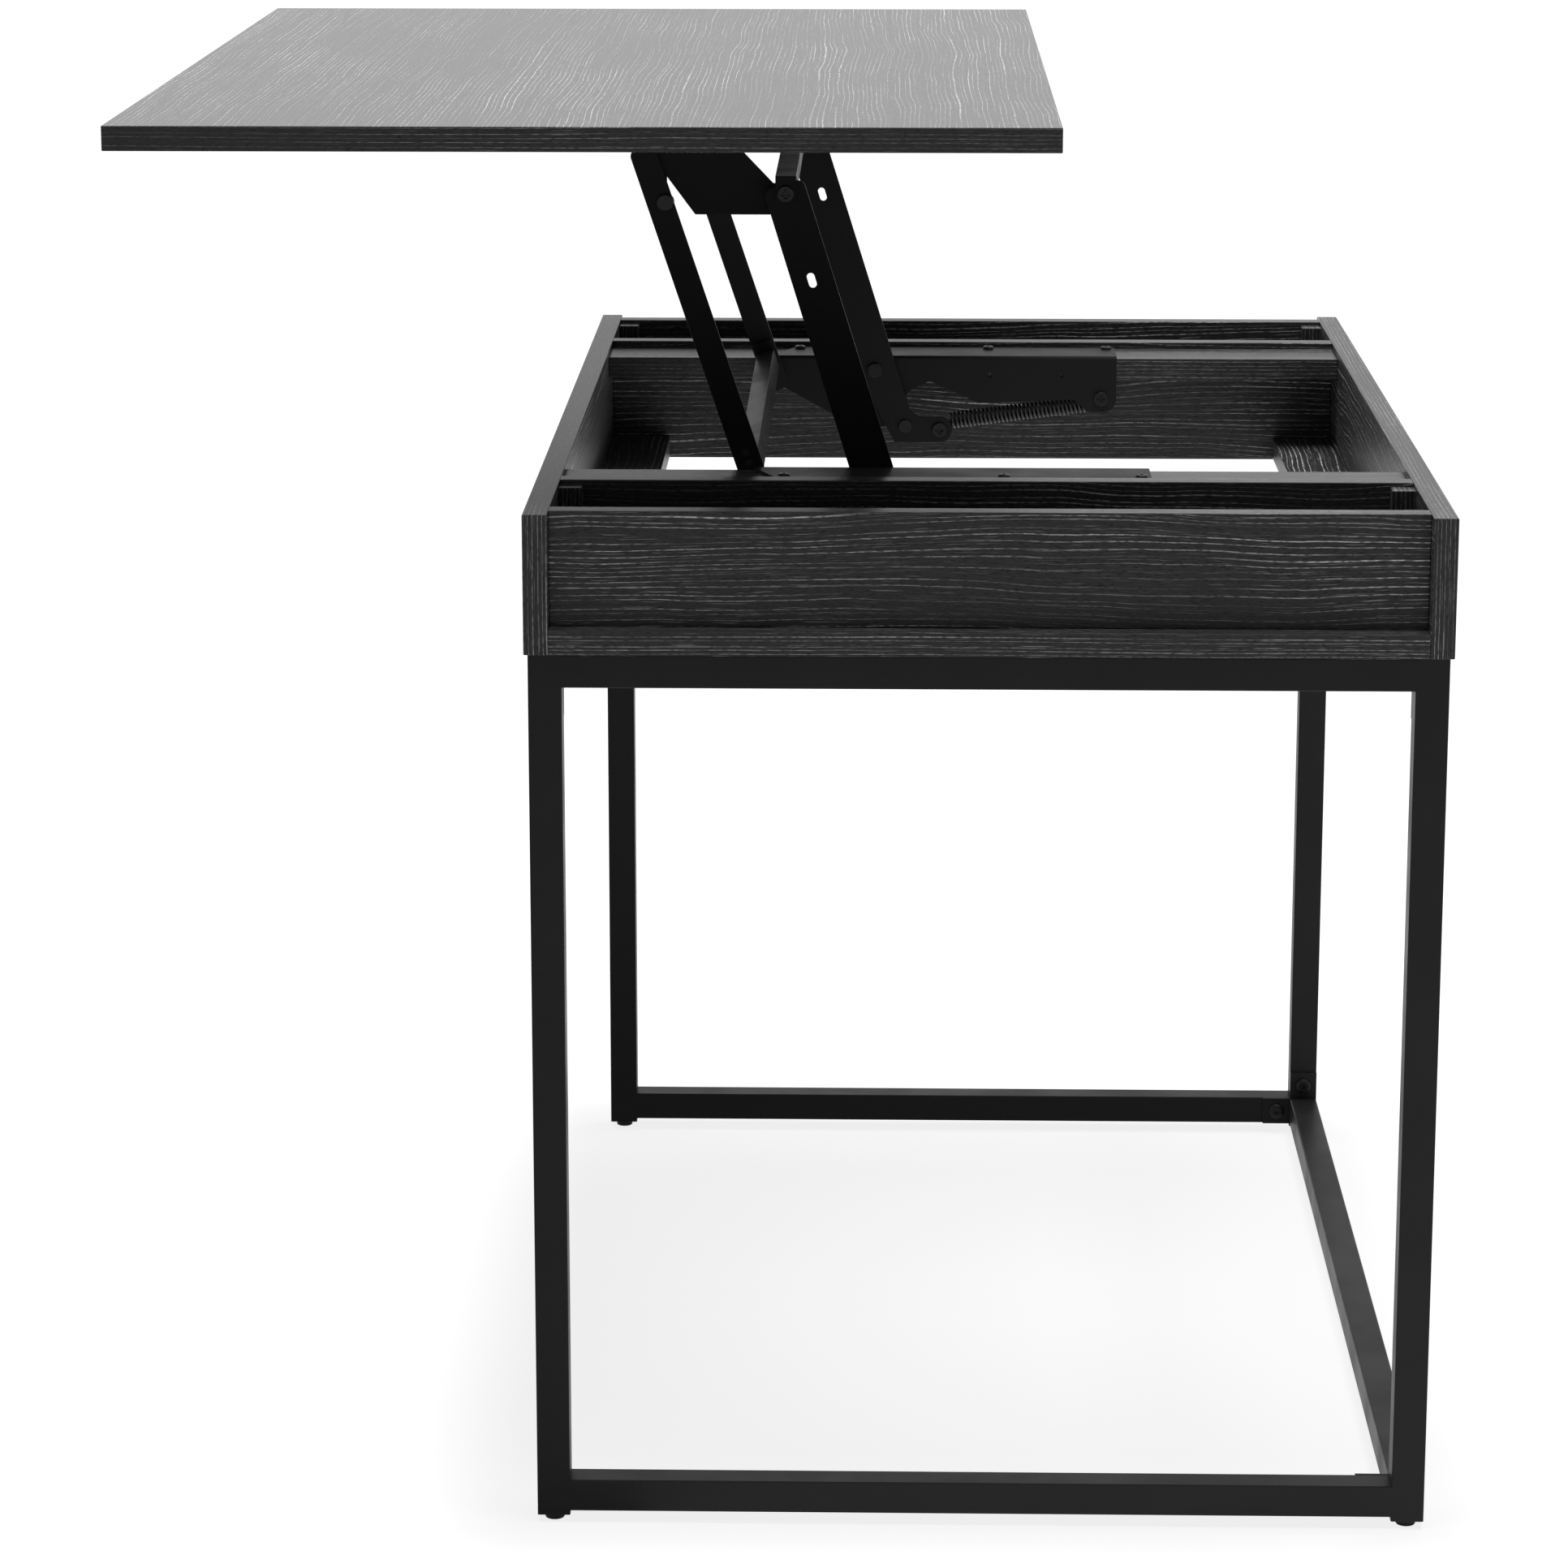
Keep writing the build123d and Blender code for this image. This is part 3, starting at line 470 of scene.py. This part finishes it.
def select_sharp_edges(copy, wanted):
    """Joins the active copy's flat triangles and selects those of its sharp edges that are wanted."""
    bpy.ops.mesh.customdata_custom_splitnormals_clear()
    bpy.ops.object.mode_set(mode="EDIT")
    bpy.ops.mesh.select_mode(type="EDGE")
    bpy.ops.mesh.select_all(action="SELECT")
    bpy.ops.mesh.remove_doubles(threshold=MERGE_REACH)
    bpy.ops.mesh.dissolve_limited(angle_limit=FLAT_ANGLE)
    bpy.ops.mesh.select_all(action="DESELECT")
    bpy.ops.mesh.edges_select_sharp(sharpness=SHARP_ANGLE)
    bpy.ops.object.mode_set(mode="OBJECT")
    for edge, keep in zip(copy.data.edges, wanted(copy.data)):
        edge.select = edge.select and keep
    for part in (*copy.data.vertices, *copy.data.polygons):
        part.select = False


def ease(name, radius, wanted, segments=3, guard=True):
    solid = nodes[name]
    copy = bpy.data.objects.new("eased_" + name, solid.data.copy())
    bpy.context.scene.collection.objects.link(copy)
    bpy.ops.object.select_all(action="DESELECT")
    copy.select_set(True)
    bpy.context.view_layer.objects.active = copy
    select_sharp_edges(copy, wanted)
    bpy.ops.object.mode_set(mode="EDIT")
    bpy.ops.mesh.bevel(offset=radius, segments=segments, affect="EDGES", clamp_overlap=guard)
    bpy.ops.object.mode_set(mode="OBJECT")
    bpy.ops.object.shade_smooth_by_angle(angle=SHARP_ANGLE)
    bpy.ops.object.modifier_add(type="WEIGHTED_NORMAL")
    copy.modifiers[-1].keep_sharp = True
    bpy.ops.object.modifier_apply(modifier=copy.modifiers[-1].name)
    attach(copy, solid["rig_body"])
    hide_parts(name)
    return copy


eased = [ease(n, BOARD_ROUND, long_edges) for n in nodes if n.endswith(BOARD_ENDINGS)]
eased += [ease(n, SHEET_ROUND, outline_edges, segments=2) for n in nodes if n.endswith(SHEET_ENDINGS)]
eased += [ease(n, PIN_ROUND, end_edges, guard=False) for n in nodes if n.endswith(PIN_ENDINGS)]
print("eased pieces:", len(eased), "faces:", sum(len(piece.data.polygons) for piece in eased))

# %% [markdown]
# ## Path of a tension spring
# Each end of the mechanism has one spring of about 34 coils, hooked on the wide arm's stud and on a bolt at
# the rear of the bracket. Its hooks leave the coil's side, one above and one below, so the coil lies flatter
# than the line between its two ends. A spring is a wire on a path, and a loop works that path out as hook,
# helix and hook.

# %% Work out the spring's path
WIRE = 0.001
COIL = 0.006
COILS = 34.5
STEPS_PER_COIL = 12
SIDE_STEP = 0.0035
HOOK_RING = 0.0043
HOOK_REACH = 0.009
HOOK_TURNS = range(-40, -280, -20)
LEAD_FORWARD = HOOK_REACH * 0.62
LEAD_RISE = HOOK_RING * 0.8
joints = {joint["name"]: joint for joint in frame["joints"]}
rear_end = Vector(joints["spring_swing"]["pos_m"])
stud_low, stud_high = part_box("spring_front_studs")
front_end = (stud_low + stud_high) / 2
front_end.y = rear_end.y


def hook_points(centre, forward, rise):
    """A ring round a pin, open towards the coil, and the bend that leads into it."""
    turns = [math.radians(angle) for angle in HOOK_TURNS]
    ring = [centre + (forward * math.cos(t) + rise * math.sin(t)) * HOOK_RING for t in turns]
    return ring + [centre + forward * LEAD_FORWARD + rise * LEAD_RISE]


def spring_points():
    """Points of one spring from its rear hook to its front hook, in the plane y = 0."""
    axis = (front_end - rear_end).normalized()
    up = Vector((-axis.z, 0.0, axis.x))
    if up.z < 0:
        up = -up
    side = axis.cross(up)
    coil_length = (front_end - rear_end).length - 2 * HOOK_REACH
    last = round(COILS * STEPS_PER_COIL)
    helix = []
    for step in range(last + 1):
        turn = 2 * math.pi * step / STEPS_PER_COIL
        share = step / last
        place = rear_end + axis * (HOOK_REACH + coil_length * share) + up * (SIDE_STEP * (2 * share - 1))
        helix.append(place + up * (COIL * math.cos(turn)) + side * (COIL * math.sin(turn)))
    return hook_points(rear_end, axis, up) + helix + hook_points(front_end, -axis, -up)[::-1]


print("spring points:", len(spring_points()))

# %% [markdown]
# ## Winding the springs
# The path is given to one smooth curve with a round bevel, which is then made a mesh. The coil hangs between
# two bodies that slide apart along it.

# %% Wind the springs
WIRE_SMOOTHNESS = 2
spring_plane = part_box("spring_rear_halves")[0].y + COIL + WIRE


def wind_spring(name, plane):
    points = spring_points()
    bpy.ops.object.select_all(action="DESELECT")
    bpy.ops.curve.primitive_nurbs_path_add()
    wire = bpy.context.object
    wire.name = name
    spline = wire.data.splines[0]
    spline.points.add(len(points) - len(spline.points))
    for point, place in zip(spline.points, points):
        point.co = (place.x, place.y + plane, place.z, 1.0)
    spline.order_u = 3
    spline.use_endpoint_u = True
    spline.resolution_u = WIRE_SMOOTHNESS
    wire.data.bevel_depth = WIRE
    wire.data.bevel_resolution = WIRE_SMOOTHNESS
    wire.data.use_fill_caps = True
    bpy.ops.object.convert(target="MESH")
    wire.data.materials.append(spring_wire_coat)
    bpy.ops.object.shade_smooth()
    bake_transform(wire)
    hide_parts("spring_rear_halves", "spring_front_halves")
    return wire


springs = [wind_spring("near_spring", spring_plane), wind_spring("far_spring", -spring_plane)]
print("springs:", [(s.name, len(s.data.polygons)) for s in springs])

# %% [markdown]
# ## Floor
# The table stands on a plain white floor. What the camera or a reflection sees of it is a darker paint with
# a white glow of its own, which is painted light. The glow is fainter where the table stands, which paints
# shade under the table, and full just outside its legs, which paints out any shadow there. So the floor meets
# the white background without an edge and still keeps the table's shadow.

# %% Lay the floor
FLOOR_SIZE = 60.0
FLOOR_WHITE = grey(0.80)
FLOOR_SEEN = grey(0.28)
FLOOR_ROUGH = 0.9
# Painted light: the floor's own glow, fainter inside the legs' rectangle as painted shade under the table,
# and full beyond it so that it paints out shadows there
GLOW_NEAR = 0.84
GLOW_FAR = 1.0
GLOW_SPREAD = 0.12
leg_boxes = [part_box(name) for name in nodes if name.endswith("_leg")]
stand_low = Vector((min(low.x for low, high in leg_boxes), min(low.y for low, high in leg_boxes), 0.0))
stand_high = Vector((max(high.x for low, high in leg_boxes), max(high.y for low, high in leg_boxes), 0.0))


def seen_directly(tree):
    """1 for what the camera, a reflection or glass sees, 0 for light that only bounces."""
    path = add(tree, "ShaderNodeLightPath").outputs
    seen = math_node(tree, "MAXIMUM", path["Is Camera Ray"], path["Is Glossy Ray"])
    return math_node(tree, "MAXIMUM", seen, path["Is Transmission Ray"])


def from_stand(tree):
    """The distance of a floor point from the rectangle that the four legs stand in."""
    def vector_node(operation, *values):
        return add(tree, "ShaderNodeVectorMath", dict(enumerate(values)), operation=operation).outputs

    spot = add(tree, "ShaderNodeTexCoord").outputs["Object"]
    offset = vector_node("SUBTRACT", spot, (stand_low + stand_high) / 2)[0]
    offset = vector_node("ABSOLUTE", offset)[0]
    offset = vector_node("SUBTRACT", offset, (stand_high - stand_low) / 2)[0]
    offset = vector_node("MAXIMUM", offset, (0.0, 0.0, 0.0))[0]
    return vector_node("LENGTH", offset)["Value"]


def floor_finish():
    material, tree, shader = new_material("pale_floor")
    seen = seen_directly(tree)
    # The glow is painted light, dimmed over the legs' rectangle as painted shade under the table
    glow = remap(tree, from_stand(tree), 0.0, GLOW_SPREAD, GLOW_NEAR, GLOW_FAR)
    tree.links.new(mix_colour(tree, seen, FLOOR_WHITE, FLOOR_SEEN), shader.inputs["Base Color"])
    tree.links.new(math_node(tree, "MULTIPLY", seen, glow), shader.inputs["Emission Strength"])
    shader.inputs["Emission Color"].default_value = grey(1.0)
    shader.inputs["Roughness"].default_value = FLOOR_ROUGH
    shader.inputs["Specular IOR Level"].default_value = 0.0
    return material


bpy.ops.object.select_all(action="DESELECT")
bpy.ops.mesh.primitive_plane_add(size=FLOOR_SIZE, location=(0.0, 0.0, 0.0))
floor = bpy.context.object
floor.name = "floor"
floor.data.materials.append(floor_finish())
print("floor of", FLOOR_SIZE, "m, legs stand in", rounded((stand_low, stand_high)))

# %% [markdown]
# ## Light
# One large soft lamp hangs overhead, and an even sky adds a little light from all round. The camera and
# reflections see that sky as white. Black fronts get most of their light from below, off the floor, so a
# wide disc lamp that lies on the floor to the right adds to that bounce. Reflections don't see the disc.

# %% Set the sky and the lamps
SKY_LIGHT = 0.05
SKY_SEEN = 1.0
TABLE_MIDDLE = Vector((0.0, 0.0, 0.5))
OVERHEAD_PLACE = Vector((0.1, 0.0, 4.0))
OVERHEAD_SIZE = 2.5
OVERHEAD_POWER = 130.0
BOUNCE_PLACE = Vector((1.1, -0.6, 0.002))
BOUNCE_SIZE = 2.4
BOUNCE_POWER = 13.0
STRAIGHT_UP = Vector((0.0, 0.0, 1.0))

world = bpy.data.worlds.new("studio")
bpy.context.scene.world = world
world.use_nodes = True
sky = world.node_tree.nodes["Background"]
sky.inputs["Color"].default_value = grey(1.0)
level = remap(world.node_tree, seen_directly(world.node_tree), 0.0, 1.0, SKY_LIGHT, SKY_SEEN)
world.node_tree.links.new(level, sky.inputs["Strength"])


def soft_light(name, place, target, size, power):
    lamp = bpy.data.lights.new(name, "AREA")
    lamp.size = size
    lamp.energy = power
    holder = bpy.data.objects.new(name, lamp)
    bpy.context.scene.collection.objects.link(holder)
    holder.visible_camera = False
    holder.location = place
    holder.rotation_euler = (target - place).to_track_quat("-Z", "Y").to_euler()
    return holder


soft_light("overhead", OVERHEAD_PLACE, TABLE_MIDDLE, OVERHEAD_SIZE, OVERHEAD_POWER)
bounce = soft_light("floor_bounce", BOUNCE_PLACE, BOUNCE_PLACE + STRAIGHT_UP, BOUNCE_SIZE, BOUNCE_POWER)
bounce.data.shape = "DISK"
bounce.visible_glossy = False
print("lamps:", [lamp.name for lamp in bpy.data.lights])

# %% [markdown]
# ## Camera
# The camera stands off the near end, about a third of a metre above the raised lid, and looks along the
# table and a little down. A long lens from that distance keeps the perspective gentle.

# %% Place the camera
CAMERA_PLACE = (0.0683, -3.5967, 1.2620)
CAMERA_TURN = math.radians(1.2544)
CAMERA_DIP = math.radians(13.4231)
CAMERA_LENS = 114.28
camera = bpy.data.objects.new("camera", bpy.data.cameras.new("camera"))
bpy.context.scene.collection.objects.link(camera)
camera.location = CAMERA_PLACE
camera.rotation_euler = (math.pi / 2 - CAMERA_DIP, 0.0, CAMERA_TURN)
camera.data.lens = CAMERA_LENS
bpy.context.scene.camera = camera
bpy.context.scene.view_settings.view_transform = "Standard"
print("camera at", CAMERA_PLACE)
